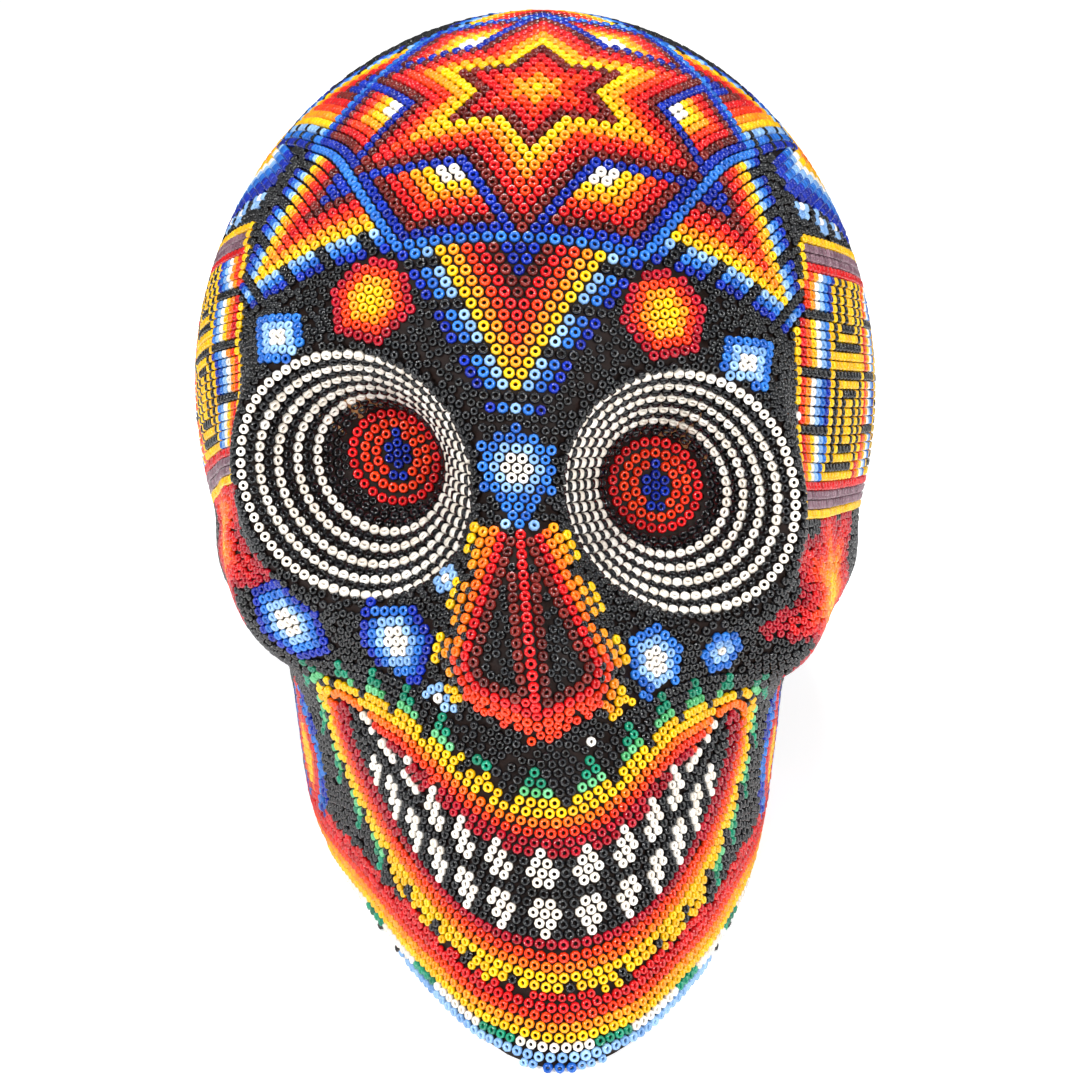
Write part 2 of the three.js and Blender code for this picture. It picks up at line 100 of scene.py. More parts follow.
def limb(p, start, end, first, last):
    """Distance to a round bar whose radius goes from first to last."""
    along = np.subtract(end, start)
    rel = p - start
    t = np.clip(rel @ along / (along @ along), 0, 1)
    return length(rel - t[..., None] * along) - (first + (last - first) * t)


def height(p):
    """How high a point stands above the flat base."""
    return p @ UP - BASE


def jaw(p):
    x, y, z = p[..., 0], p[..., 1], p[..., 2]
    down = np.clip((z + 30) / -63, 0, 1)
    k = 0.023 + 0.013 * down
    front = -87 + 0.12 * np.maximum(z + 40, 0)
    face = (front + k * x * x - y) / np.hypot(1, 2 * k * x)
    side = np.abs(x) - 56 + 5 * down
    return blend_max(blend_max(face, side, 14), blend_max(y - 26, z + 8, 8), 12)


def skull(p):
    side = p * 1.0
    side[..., 0] = np.abs(side[..., 0])
    rel = side - EYE
    depth = rel @ EYE_AXIS
    radius = length(rel - depth[..., None] * EYE_AXIS)
    d = blend_min(egg(p, CRANIUM), egg(p, MIDFACE), 14)
    d = blend_min(d, limb(side, *BROW), 8)
    d = blend_min(d, limb(side, *CHEEKBONE), 10)
    d = blend_min(d, jaw(p), 7)
    boss = blend_max(radius - RIM - 4.5, np.abs(depth - DEPTH / 2) - DEPTH / 2, 5)
    d = blend_min(d, boss, 7)
    d = blend_min(d, limb(p, *NOSE_BRIDGE), 5)
    wall = RIM + (FLOOR - RIM) * np.clip(depth / DEPTH, 0, 1) + 0.35 * np.maximum(-depth, 0)
    taper = math.cos(math.atan2(RIM - FLOOR, DEPTH))
    d = blend_max(d, -blend_max((radius - wall) * taper, depth - DEPTH, 2), 2.5)
    d = blend_max(d, -egg(side, NOSTRIL), 2.5)
    return blend_max(d, -height(p) - 7, 11)


def slope(p):
    step = 0.05
    sides = [skull(p + step * e) - skull(p - step * e) for e in np.eye(3)]
    return np.stack(sides, -1) / (2 * step)


def settle(p, level=BEAD_LEVEL, steps=2):
    """Moves points squarely on to the surface, or to this level of it."""
    for _ in range(steps):
        g = slope(p)
        p = p - ((skull(p) - level) / (g * g).sum(-1))[..., None] * g
    return p


def shoot(start, way, level=BEAD_LEVEL):
    """Where rays from outside the head meet the surface."""
    reach = np.zeros(len(start))
    for _ in range(110):
        gap = skull(start + way * reach[:, None]) - level
        reach += np.clip(gap, -3, 4) * 0.8
    return settle(start + way * reach[:, None], level, 1)


def by_hand(p):
    """The carved face leans and droops a little to one side, and its left socket drifts."""
    x, y, z = p[..., 0], p[..., 1], p[..., 2]
    near = np.clip((10 - y) / 70, 0, 1)
    near = near * near * (3 - 2 * near)
    phase = np.clip((z - 27) / 120, -1, 1) * math.pi
    tilt = DROOP * np.exp(-(((z - 15) / 50) ** 2)) * x
    rel = p * (-1, 1, 1) - EYE
    depth = rel @ EYE_AXIS
    radius = length(rel - depth[..., None] * EYE_AXIS)
    sunk = np.clip((depth + 2) / 19, 0, 1)
    well = np.where(x < 0, sunk * sunk * (3 - 2 * sunk) * np.exp(-((radius / WELL_REACH) ** 2)), 0)
    x = x - near * SWAY * np.cos(phase) + WELL_ACROSS * well
    return np.stack((x, y, z - near * tilt + WELL_UP * well), -1)


def packed(w):
    """From the carver's face frame to metres of the object standing on its base."""
    c, s = math.cos(LEAN), math.sin(LEAN)
    x, y, z = w[..., 0], w[..., 1], w[..., 2]
    stood = np.stack((x, y * c + z * s, -y * s + z * c - BASE), -1)
    return (stood + SHIFT) / 1000


# ---- Drawings laid on the head: each chart takes flat points and gives surface points ----
CROWN_MIDDLE = np.array((0, 14, 28))
CROWN_OUT = unit(np.array((0.0, -70, 60)))
CROWN_UP = unit(np.array((0.0, 60, 70)))
CROWN_RADIUS = 90


def on_crown(flat):
    u, v = np.array(flat, float).T
    reach = np.hypot(u, v) / CROWN_RADIUS
    turn = np.arctan2(v, u)
    way = np.cos(reach)[:, None] * CROWN_OUT + (np.sin(reach) * np.sin(turn))[:, None] * CROWN_UP
    way[:, 0] += np.sin(reach) * np.cos(turn)
    return shoot(CROWN_MIDDLE + 150 * way, -way)


def on_front(flat):
    flat = np.array(flat, float)
    start = np.stack((flat[:, 0], np.full(len(flat), -170.0), flat[:, 1]), -1)
    return shoot(start, np.array((0, 1.0, 0)))


def on_side(side):
    def place(flat):
        flat = np.array(flat, float)
        start = np.stack((np.full(len(flat), side * 130.0), flat[:, 0], flat[:, 1]), -1)
        return shoot(start, np.array((-side, 0.0, 0)))

    return place


def on_back(flat):
    flat = np.array(flat, float)
    start = np.stack((flat[:, 0], np.full(len(flat), 200.0), flat[:, 1]), -1)
    return shoot(start, np.array((0, -1.0, 0)))


BOW = np.linspace(-66, 66, 1321)
BOW_ARC = np.concatenate(([0], np.cumsum(np.hypot(np.diff(BOW), np.diff(0.03 * BOW**2)))))
BOW_ARC -= BOW_ARC[660]


def on_jaw(flat):
    """First coordinate round the jaw from its middle, second the height."""
    a, b = np.array(flat, float).T
    t = np.interp(a, BOW_ARC, BOW)
    out = unit(np.stack((0.06 * t, np.full(len(t), -1.0), np.zeros(len(t))), -1))
    foot = np.stack((t, -87 + 0.03 * t * t, b), -1)
    return shoot(foot + 50 * out, -out)


def dense(corners, step=0.5):
    """Fine steps along straight stretches from corner to corner."""
    corners = [np.array(c, float) for c in corners]
    runs = []
    for a, b in zip(corners, corners[1:]):
        count = max(2, int(length(b - a) / step))
        runs.append(a + (b - a) * np.linspace(0, 1, count, endpoint=False)[:, None])
    return np.concatenate(runs + [corners[-1][None]])


def thread(place, line, closed=False, half=False):
    """Strings beads along a line drawn on a chart, evenly on the surface. An open thread is counted
    from its middle, where bead 0 sits, or beads -1/2 and 1/2."""
    line = place(line)
    hand = by_hand(line)
    run = np.concatenate(([0], np.cumsum(length(np.diff(hand, axis=0)))))
    if closed:
        count = max(3, round(run[-1] / PITCH))
        number = np.arange(count)
        stops = number * run[-1] / count
    else:
        middle = run[-1] / 2
        reach = int(middle / PITCH + (0.5 if half else 0))
        number = np.arange(-reach, reach + 1) + (0.5 if half else 0)
        stops = middle + number * PITCH
        inside = (stops >= -0.01) & (stops <= run[-1] + 0.01)
        number, stops = number[inside], stops[inside]
    points = np.stack([np.interp(stops, run, line[:, i]) for i in range(3)], -1)
    return settle(points), number


# ---- The layout: beads are laid one after another, and none on top of another ----
spots, inks = [], []
cells = {}


def cell(w):
    """The small cube of space that a bead lies in."""
    return tuple(np.floor(w / PITCH).astype(int))


def lay(points, colours, gap=0.86):
    """Adds beads where there is room. Colours are one letter a bead; a space leaves the bead out."""
    for p, w, ink in zip(points, by_hand(points), colours):
        if ink == " " or height(p) < 1.1:
            continue
        a, b, c = cell(w)
        near = [
            q
            for i in (-1, 0, 1)
            for j in (-1, 0, 1)
            for k in (-1, 0, 1)
            for q in cells.get((a + i, b + j, c + k), ())
        ]
        if near and length(np.array(near) - w).min() < gap * PITCH:
            continue
        cells.setdefault((a, b, c), []).append(w)
        spots.append(p)
        inks.append(ink)


def lattice(reach, pitch=PITCH):
    """Nested rows over a square, one bead on its middle."""
    rise = pitch * math.sqrt(3) / 2
    n = int(reach / rise) + 1
    row = np.arange(-n, n + 1)
    j, i = np.meshgrid(row, row, indexing="ij")
    return np.stack(((i + (j % 2) / 2) * pitch, j * rise), -1).reshape(-1, 2)


def patch(centre, reach, colour_of, turn=0.0):
    """A motif on the tangent plane at a surface point: colour_of gives a letter for u, v."""
    out = unit(slope(centre[None]))[0]
    right = unit(np.cross((0, 0, 1.0), out))
    up = np.cross(out, right)
    flat = lattice(reach)
    flat = flat[length(flat) <= reach]
    flat = flat[np.argsort(length(flat), kind="stable")]
    c, s = math.cos(turn), math.sin(turn)
    u, v = flat[:, 0] * c - flat[:, 1] * s, flat[:, 0] * s + flat[:, 1] * c
    points = settle(centre + u[:, None] * right + v[:, None] * up, steps=4)
    lay(points, [colour_of(a, b) for a, b in flat])


def rings(letters):
    """A colour rule: letters from the middle outwards, one a ring of beads."""

    def colour_of(u, v):
        reach = max(abs(v) * 1.155, abs(u) + abs(v) * 0.577) / PITCH
        k = int(round(reach))
        return letters[k] if k < len(letters) else " "

    return colour_of


# ---- Eye sockets: white rings on the black wall, round a red floor with a dark blue oval ----
SOCKET_RINGS, SOCKET_STEPS = 11, 10.4
PUPIL_RINGS = (8.5, 6.4, 4.3, 2.1, 0)
PUPIL_OVAL = (2.2, 5.2)


def on_socket(side, depth):
    """A chart across a socket, this far down its axis."""
    across = unit(np.cross((0, 0, 1.0), EYE_AXIS))
    raised = np.cross(EYE_AXIS, across)

    def place(flat):
        points = EYE + EYE_AXIS * depth + flat[:, :1] * across + flat[:, 1:] * raised
        points[:, 0] *= side
        return settle(points, steps=4)

    return place


def circle(radius, turn):
    return radius * np.stack((np.cos(turn), np.sin(turn)), -1)


def socket(side):
    for k in range(SOCKET_RINGS):
        share = k / SOCKET_STEPS
        radius = RIM + 1.1 + (FLOOR - RIM) * share - 0.6 * share
        place = on_socket(side, DEPTH * share - 0.2)
        points, _ = thread(place, circle(radius, np.linspace(0, 2 * math.pi, 181)), closed=True)
        lay(points, ("W" if k % 2 == 0 and k < 10 else "K") * len(points), 0.76)
    for radius in PUPIL_RINGS:
        count = max(1, round(2 * math.pi * radius / PITCH))
        flat = circle(radius, np.arange(count) * 2 * math.pi / count + math.pi / 2)
        blue = ((flat / PUPIL_OVAL) ** 2).sum(-1) < 1
        red = "R" if radius == PUPIL_RINGS[0] else "H"
        lay(on_socket(side, DEPTH)(flat), np.where(blue, "N", red), 0.7)


socket(-1)
socket(1)

# ---- Between the eyes: a small flower with a blue stem ----
def brow_letter(u, v):
    k = int(round(math.hypot(u, v) / PITCH))
    if k < 4:
        return "WWSM"[k]
    if v < 0 and abs(u) < 4.6 + 0.22 * v and k < 6:
        return "S" if k == 5 and abs(u) > 1 else "M"
    return " "


patch(on_front([(0, 12.6)])[0], 12, brow_letter)

# ---- Crown: a six-armed star of nested rows, rhombi between its arms, and rays ----
STAR_ROWS = "BRHLYBRHLYY"
DIAMOND_ROWS = "NWWYLHRBNM"
RAY_ROWS = "YLHRBN"
STAR_TIP, RAY_SIDE = 40.7, 32.6
CROWN_PITCH = 2.47
CROWN_RISE = CROWN_PITCH * math.sqrt(3) / 2
CROWN_EDGE = 80


def star_reach(u, v):
    """A six-armed star is two triangles. This is how far out the nearer one's side lies."""
    return min(
        max(u * math.cos(t) + v * math.sin(t) for t in np.radians((270, 30, 150))),
        max(u * math.cos(t) + v * math.sin(t) for t in np.radians((90, 210, 330))),
    )


def star_letter(p):
    k = math.floor((STAR_TIP / 2 - star_reach(*p)) / CROWN_RISE)
    return STAR_ROWS[k] if k >= 0 else None


def diamond_letter(p):
    """p is turned so that the rhombus lies on the first axis."""
    u, v = p[0] - STAR_TIP / math.sqrt(3), p[1]
    sides = [(u * math.sqrt(3) / 2 + s * v / 2) / CROWN_RISE for s in (-1, 1)]
    i, j = (math.floor(d) for d in sides)
    if min(i, j) < 0 or max(i, j) > 9:
        return None
    return "N" if min(i, j) == 0 and max(i, j) < 9 else DIAMOND_ROWS[max(i, j)]


def ray_letter(p):
    """p is turned so that the ray points up."""
    if p[1] < STAR_TIP - CROWN_RISE / 2:
        return None
    tip = STAR_TIP + RAY_SIDE * math.sqrt(3) / 2
    depth = tip * 0.5 - abs(p[0]) * math.sqrt(3) / 2 - (p[1] - 1) * 0.5
    k = math.floor(depth / CROWN_RISE)
    if k >= 0:
        return RAY_ROWS[min(k, 5)]
    if k < -3 or p[1] > tip + 5:
        return None
    along = (tip - p[1]) * math.sqrt(3) / 2 + abs(p[0]) * 0.5
    group = math.floor(along / CROWN_PITCH + 0.5 * k) % 4
    return "KSMN"[-k] if group != 3 else "K"


def crown_spot(p):
    """The rows lie closer up and down than across, and bend up a little at the sides."""
    u, v = p[..., 0], p[..., 1]
    v = np.where(v > -STAR_TIP, v * 0.88, -STAR_TIP * 0.88 + (v + STAR_TIP) * 0.97) - 1.3
    bend = 3.2 * np.exp(-(((np.abs(u) - 38) / 14) ** 2) - ((v + 11) / 13) ** 2)
    return np.stack((u, v + bend), -1)


def turned(p, angle):
    c, s = math.cos(angle), math.sin(angle)
    return np.array((p[0] * c - p[1] * s, p[0] * s + p[1] * c))


def crown_letter(p):
    letter = star_letter(p)
    for rule in (diamond_letter, ray_letter):
        for k in range(6):
            letter = letter or rule(turned(p, -k * math.pi / 3))
    return letter


drawing = [(p, crown_letter(p)) for p in lattice(84, CROWN_PITCH) if math.hypot(*p) <= CROWN_EDGE]
drawing = [(p, letter) for p, letter in drawing if letter]
points = on_crown(crown_spot(np.array([p for p, _ in drawing])))
folded = np.abs(points) * (1, 0, 1) + points * (0, 1, 0)
clear = length(folded - EYE) >= 27  # the sockets' rims stay free
lay(points[clear], np.array([letter for _, letter in drawing])[clear], 0.78)

# ---- Nose: a red ridge between two hollows, in nested outlines with stepped yellow edges ----
def outline(grow):
    """The right half of the nose, from the top to the tip, let out by this much."""
    return [
        (2.6 + grow * 0.9, 1.8 + grow * 0.2),
        (12 + grow, -22.5),
        (10.6 + grow * 0.8, -26.5 - grow * 0.5),
        (0, -31.7 - grow),
    ]


def straight(start, end, letter):
    points, _ = thread(on_front, dense([start, end]))
    lay(points, letter * len(points))


straight((0, 2.5), (0, -31.5), "R")
for grow, letter in ((0, "R"), (-ROW, "B"), (ROW, "O")):
    right = dense(outline(grow))
    loop = np.concatenate((right, right[-2::-1] * (-1, 1)))
    points, number = thread(on_front, loop)
    lay(points, ["H" if letter == "O" and abs(n) < 11 else letter for n in number], 0.84)
for side in (-1, 1):
    straight((side * 2.1, -1.5), (side * 2.1, -29), "B")
    for grow, rule in ((2 * ROW, "LLLL "), (3 * ROW, "YYY  ")):
        edge = dense(outline(grow)[:3]) * (side, 1)
        points, number = thread(on_front, edge, half=grow > 2.5 * ROW)
        count = (number - number[0]).astype(int)
        lay(points, [rule[k % 5] for k in count], 0.84)

# ---- Mouth: rows of beads that run round the teeth, listed from the line between the teeth ----
BITE = [(0, -64.6), (10, -63.2), (20, -59.3), (28, -54.2), (35, -48.3), (41, -42.3), (45, -38)]
UPPER = [(0, -46.7), (7.5, -45.6), (14, -42.3), (21, -37.7), (30, -32.8), (42, -30.2), (57, -28.5)]
BITE_LOWER = [(0, -64.6), (9, -63.5), (18, -60.5), (26, -56), (33, -50.5), (39, -44.8), (43, -40.5)]
BITE_LOWER += [(45, -38)] * 3
LOWER = [(0, -81.4), (12, -79.5), (23, -75.5), (35, -69.5), (46, -62.5), (55, -54.5), (61, -46)]
LOWER += [(64.5, -38), (64, -31), (57, -28.5)]
CHIN = [(0, -83.2), (16, -80.4), (29, -75.8), (40, -72.6), (50, -69), (62, -64.5)]
CHIN += [(75, -61), (92, -57), (112, -53)]
JAW_ROW = 1.79
TEETH_HALF = 25  # beads from the middle of the mouth to its corner


def softened(half):
    """A smooth line through both halves of the face."""
    half = dense(half)
    mirror = np.concatenate((half[::-1] * (-1, 1), half[1:]))
    reach = 9
    kernel = np.hanning(2 * reach + 3)[1:-1]
    padded = [np.pad(mirror[:, i], reach, "reflect", reflect_type="odd") for i in (0, 1)]
    return np.stack([np.convolve(line, kernel / kernel.sum(), "valid") for line in padded], -1)


def mouth_row(k, upper):
    """Row k, counted from the bite, as a line round the front of the jaw."""
    inner, outer = (BITE, UPPER) if upper else (BITE_LOWER, LOWER)
    inner, outer = np.array(inner, float), np.array(outer, float)
    if k > 5:
        return softened(outer + unit(outer - inner) * (k - 10.5) * JAW_ROW)
    return softened(inner + unit(outer - inner) * (k - 0.5) * JAW_ROW)


def chin_row(k):
    """Row k of the bands under the mouth, which run back along the jaw."""
    line = np.array(CHIN, float)
    along = np.gradient(line, axis=0)
    down = unit(np.stack((along[:, 1], -along[:, 0]), -1))
    return softened(line + down * (k - 0.5) * JAW_ROW)


def tooth(k, n):
    """Four beads a tooth: rows of 2, 3, 2 and 1 beads."""
    near = abs((n + 2) % 4 - 2)
    return near <= (0.6, 1.1, 0.6, 0.1)[k - 1]


MOUTH_ROWS = "KKKKCCHOYY"
CHIN_ROWS = "RHLYWSMNNPNNNN"


def from_gap(n, period):
    """How far bead n is from the middle of its group, in beads."""
    return abs((n + period / 2) % period - period / 2)


def lip_letter(k, n, upper):
    """Bead n of row k: a tooth, a black notch in the yellow edge, or the row's own colour."""
    first = 2 if upper else 1
    if first <= k < first + 4 and abs(n) < TEETH_HALF and tooth(k - first + 1, n):
        return "W"
    if k == 10 and from_gap(n if upper else n + 0.5, 5) > 2.1:
        return "K"
    return MOUTH_ROWS[k - 1]


def leaf_letter(k, n):
    """Green triangles: rows of 3, 2 and 1 beads over each group of yellow ones."""
    if from_gap(n, 5) < (1.6, 1.1, 0.6)[k - 11]:
        return "G" if k == 11 else "T"
    return "K"


# The outer bands and the teeth come first, so that where the lips are thin the crimson rows give way.
for k in (10, 9, 8, 1, 2, 3, 4, 7, 5, 6):
    for upper in (True, False):
        points, number = thread(on_jaw, mouth_row(k, upper), half=(k % 2 == 0) == upper)
        lay(points, [lip_letter(k, n, upper) for n in number], 0.8)
for k, letter in enumerate(CHIN_ROWS, 1):
    points, number = thread(on_jaw, chin_row(k), half=k % 2 == 0)
    lay(points, ["T" if k == 5 and from_gap(n, 11) > 3.9 else letter for n in number], 0.8)
for k in range(11, 14):
    for upper in (True, False):
        points, number = thread(on_jaw, mouth_row(k, upper), half=k % 2 == 0)
        lay(points, [leaf_letter(k, n) if upper or abs(n) > 22 else " " for n in number], 0.8)

# ---- Flowers ----
def flower(centre, letters, turn=0.0, ragged=0.3):
    """Rings of beads from the middle outwards. The more ragged, the rounder it is."""

    def colour_of(u, v):
        angled = max(abs(v) * 1.155, abs(u) + abs(v) * 0.577)
        k = int(round(((1 - ragged) * angled + ragged * math.hypot(u, v) * 1.06) / PITCH))
        return letters[k] if k < len(letters) else " "

    patch(on_front([centre])[0], (len(letters) - 0.6) * PITCH, colour_of, turn)


def rhombus_letter(u, v, side):
    b = v / (PITCH * math.sqrt(3) / 2)
    a = u / PITCH - side * b / 2
    k = int(max(abs(a + 0.5), abs(b + 0.5)))
    return "WSM"[k] if k < 3 else " "


for side in (-1, 1):
    flower((side * 27.2, 42.8), "YYLHC", 0.2 * side, ragged=0.9)
    patch(on_front([(side * 44.4, 36)])[0], 12, lambda u, v: rhombus_letter(u, v, side))
flower((-46.6, -18.2), "WWSMN", 0.3)
flower((-24.8, -20.2), "WWSMN", 0.1, ragged=0.6)
flower((22.9, -22), "WWSM", 0.4, ragged=0.9)
flower((36.3, -20), "WSM", 0.2)
for centre in ((-14.3, -8.3), (-17.7, -29.8)):
    flower(centre, "WS", 0.3)
for spot in ((9.3, -36.4), (14.5, -29.2), (54.6, 27)):
    lay(on_front([spot]), "W")

# ---- Temple panels: a yellow frame round barred blocks and plain nested rectangles ----
PANEL_LOW, PANEL_HIGH, PANEL_BACK = 8.0, 61.0, 22.0


def panel_letter(column, row, columns, rows):
    """Yellow frame, mauve and red inside it, then barred blocks and blocks of nested rectangles."""
    edge = min(column, columns - column, row, rows - row)
    if edge < 1:
        return "Y"
    if min(row, rows - row) < 3:
        return "P"
    if min(row, rows - row) < 4:
        return "R"
    step, tall = int(column - 1) % 16, int(row - 4)
    if step < 6:
        if tall % 6 == 5:
            return "K"
        return ("ROYWSM", "HLWSMN")[tall // 6 % 2][step]
    block = tall % 13
    ring = min(step - 6, 15 - step, block, 12 - block)
    return "YKYKY"[ring]


for side in (-1, 1):
    rows = round((PANEL_HIGH - PANEL_LOW) / ROW)
    for row in range(rows + 1):
        z = PANEL_LOW + row * ROW
        front = float(np.interp(z, (6, 20, 45, 62), (-60, -53, -49, -41)))
        points, _ = thread(on_side(side), dense([(PANEL_BACK, z), (front, z)]))
        last = len(points) - 1
        lay(points, [panel_letter(last - c, row, last, rows) for c in range(last + 1)], 0.8)

# ---- The sides and back: suns, lozenges, a star at the nape, and small flowers ----
def sun_letter(u, v):
    reach = math.hypot(u, v) / (1 + 0.09 * math.cos(10 * math.atan2(v, u)))
    k = int(reach / ROW + 0.5)
    return "YYLOHRCBNMSWSMN"[k] if k < 15 else " "


def lozenge_letter(u, v):
    k = int(((31 - abs(u)) * 0.5 - abs(v) * 0.866) / ROW + 0.5)
    return "NMMSWYYLOHRB"[k] if 0 <= k < 12 else " "


def jaw_letter(u, v):
    k = int((12.5 - abs(u) * 0.8 - abs(v) * 0.6) / ROW + 0.5)
    return "NMRROYY"[k] if 0 <= k < 7 else " "


def nape_letter(u, v):
    s = star_reach(u, v)
    k = int((17 - s) / ROW)
    return "NMSWYLOHRY"[k] if 0 <= s <= 17 and k < 10 else " "


for side in (-1, 1):
    place = on_side(side)
    patch(place([(62, 52)])[0], 29, sun_letter)
    patch(place([(-10.5, 82)])[0], 31, lozenge_letter, 0.28 * side)
    for spot in ((-36, 68), (-29, 66), (-20, 66)):
        patch(place([spot])[0], 3.4, rings("WS"))
    patch(place([(-16, -46)])[0], 13, jaw_letter)
patch(on_back([(0, 45)])[0], 35, nape_letter)

# ---- A fine mesh of the wax, from which loose spots for the ground beads are also drawn ----
def clear_selection():
    for thing in bpy.context.selected_objects:
        thing.select_set(False)


clear_selection()
bpy.ops.mesh.primitive_ico_sphere_add(subdivisions=7, radius=1)
wax = bpy.context.object
wax.name = "wax_skin"
ball = np.zeros(len(wax.data.vertices) * 3)
wax.data.vertices.foreach_get("co", ball)
ball = unit(ball.reshape(-1, 3))
corners = np.zeros(len(wax.data.polygons) * 3, int)
wax.data.polygons.foreach_get("vertices", corners)
corners = corners.reshape(-1, 3)
skin = shoot(HEART + 175 * ball, -ball, WAX_LEVEL)


def tree_of(places):
    tree = KDTree(len(places))
    for i, w in enumerate(places):
        tree.insert(w, i)
    tree.balance()
    return tree


def scatter(count):
    """Even random spots on the skin, moved to the beads' level."""
    a, b, c = (by_hand(skin)[corners[:, i]] for i in range(3))
    area = length(np.cross(b - a, c - a))
    chosen = rng.choice(len(corners), count, p=area / area.sum())
    s, t = rng.random((2, count))
    over = s + t > 1
    s, t = np.where(over, 1 - s, s), np.where(over, 1 - t, t)
    a, b, c = (skin[corners[chosen, i]] for i in range(3))
    return settle(a + s[:, None] * (b - a) + t[:, None] * (c - a))


LOOSE = 520_000
LOWEST = 1.15  # no bead stands lower than this, so none is crushed under the base
loose = scatter(LOOSE)
loose = loose[height(loose) > LOWEST]

# ---- Small flowers where the back and the sides are still bare ----
drawn_tree = tree_of(by_hand(np.array(spots)))
taken = []
for p, w in zip(loose[:6000], by_hand(loose[:6000])):
    if p[1] < -2 or height(p) < 9 or (p[2] < 2 and p[1] < 20):
        continue
    if drawn_tree.find(w)[2] < 7.5 or any(length(w - q) < 15 for q in taken):
        continue
    taken.append(w)
    letters = ("WS", "WSM", "YO", "WM")[len(taken) % 4]
    patch(p, (len(letters) - 0.6) * PITCH, rings(letters), rng.random() * 3)

# ---- Ground: each bead goes to the spot that touches the most beads already there ----
hand = by_hand(loose)
CELL = 2.75  # the loose spots are sorted into cubes this wide
TIGHT = 0.87  # the nearest that two beads come, in bead widths
SNUG = 1.3  # two beads this near, in bead widths, count as touching
FINE = 1.74  # the black beads of the face are finer
low = hand.min(0) - 2 * CELL
counts = np.ceil((hand.max(0) - low) / CELL).astype(int) + 3
where = np.floor((hand - low) / CELL).astype(int)
key = (where[:, 0] * counts[1] + where[:, 1]) * counts[2] + where[:, 2]
order = np.argsort(key, kind="stable")
loose, hand, key = loose[order], hand[order], key[order]
room = np.where((loose[:, 1] < 25) & (loose[:, 2] < 70), FINE, PITCH)
starts = np.searchsorted(key, np.arange(counts.prod() + 1))
first = np.full(len(hand), 99.0)
second = np.full(len(hand), 99.0)
open_spot = np.ones(len(hand), bool)
queue = []


def touch(w, width):
    """Tells the loose spots near a new bead how close it is, and queues the snuggest of them."""
    x, y, z = np.floor((w - low) / CELL).astype(int)
    runs = []
    for i in (-1, 0, 1):
        for j in (-1, 0, 1):
            column = ((x + i) * counts[1] + y + j) * counts[2] + z
            runs.append(np.arange(starts[column - 1], starts[column + 2]))
    near = np.concatenate(runs)
    near = near[open_spot[near]]
    if not len(near):
        return
    gap = length(hand[near] - w) * 2 / (width + room[near])
    open_spot[near[gap < TIGHT]] = False
    near, gap = near[gap >= TIGHT], gap[gap >= TIGHT]
    nearer = gap < first[near]
    second[near] = np.where(nearer, first[near], np.minimum(second[near], gap))
    first[near] = np.where(nearer, gap, first[near])
    snug = near[(second[near] < SNUG) & (gap < SNUG)]
    if len(snug):
        score = first[snug] + second[snug]
        for k in np.argsort(score)[:6]:
            heapq.heappush(queue, (float(score[k]), int(snug[k])))


def fill(spot):
    spots.append(loose[spot])
    inks.append("?")
    own.append(room[spot])
    touch(hand[spot], room[spot])


drawn = len(spots)
own = [PITCH] * drawn
for w in by_hand(np.array(spots)):
    touch(w, PITCH)
while open_spot.any():
    while queue:
        _, spot = heapq.heappop(queue)
        if open_spot[spot]:
            fill(spot)
    left = np.flatnonzero(open_spot)
    if len(left):
        fill(left[np.argmin(first[left])])
spots, own = np.array(spots), np.array(own)

# ---- The beads push each other apart a little, as they do in soft wax ----
def neighbours(hand):
    """Pairs of beads that may touch."""
    tree = tree_of(hand)
    reach = SNUG * PITCH
    return np.array([(i, j) for i, w in enumerate(hand) for _, j, _ in tree.find_range(w, reach) if j > i])


def apart(pairs):
    """How far apart two beads' middles lie when they just touch."""
    return (own[pairs[:, 0]] + own[pairs[:, 1]]) / 2


pairs = neighbours(by_hand(spots))
ease = np.where(np.arange(len(spots)) < drawn, 0.12, 1.0)  # the drawn motifs hardly give
for _ in range(14):
    hand = by_hand(spots)
    way = hand[pairs[:, 1]] - hand[pairs[:, 0]]
    gap = length(way)
    push = np.clip(apart(pairs) - gap, 0, None) * 0.35 / np.maximum(gap, 0.1)
    move = np.zeros_like(hand)
    np.add.at(move, pairs[:, 0], -way * push[:, None])
    np.add.at(move, pairs[:, 1], way * push[:, None])
    spots = settle(spots + move * ease[:, None], steps=1)
hand = by_hand(spots)
pairs = neighbours(hand)
gaps = length(hand[pairs[:, 1]] - hand[pairs[:, 0]]) / apart(pairs)
closest = np.full(len(spots), SNUG)
np.minimum.at(closest, pairs[:, 0], gaps)
np.minimum.at(closest, pairs[:, 1], gaps)
size = np.clip(closest + 0.06, 0.88, 1.1) * own / PITCH

# ---- Colours of the ground beads ----
drawn_tree = tree_of(hand[:drawn])


def flame_letter(p):
    """Flames on the cheekbones, licking upwards and back."""
    side = 1 if p[0] > 0 else -1
    dy, dz = (p[1] + 33) / 25, (p[2] + 3 if side < 0 else p[2] + 9) / 17
    turn = math.atan2(dz, dy)
    reach = math.hypot(dy, dz) / (1 + 0.16 * math.cos(7 * turn + 0.6) + 0.1 * math.sin(turn))
    for limit, letter in ((0.22, "Y"), (0.4, "L"), (0.55, "O"), (0.68, "H"), (0.86, "R"), (1.0, "C")):
        if reach < limit:
            return letter
    return None


def ground_letter(p, w):
    """Black, save for the flames and for gaps in the bands of the mouth, which take the nearest colour."""
    if abs(p[0]) > 42 and -66 < p[1] < 0 and -34 < p[2] < 20:
        letter = flame_letter(p)
        if letter:
            return letter
    if p[2] < -28 and p[1] < 20:
        for _, i, gap in drawn_tree.find_n(w, 3):
            if gap < (2.2 if inks[i] == "K" else 3.4) and inks[i] not in "WGT":
                return inks[i]
    return "K"


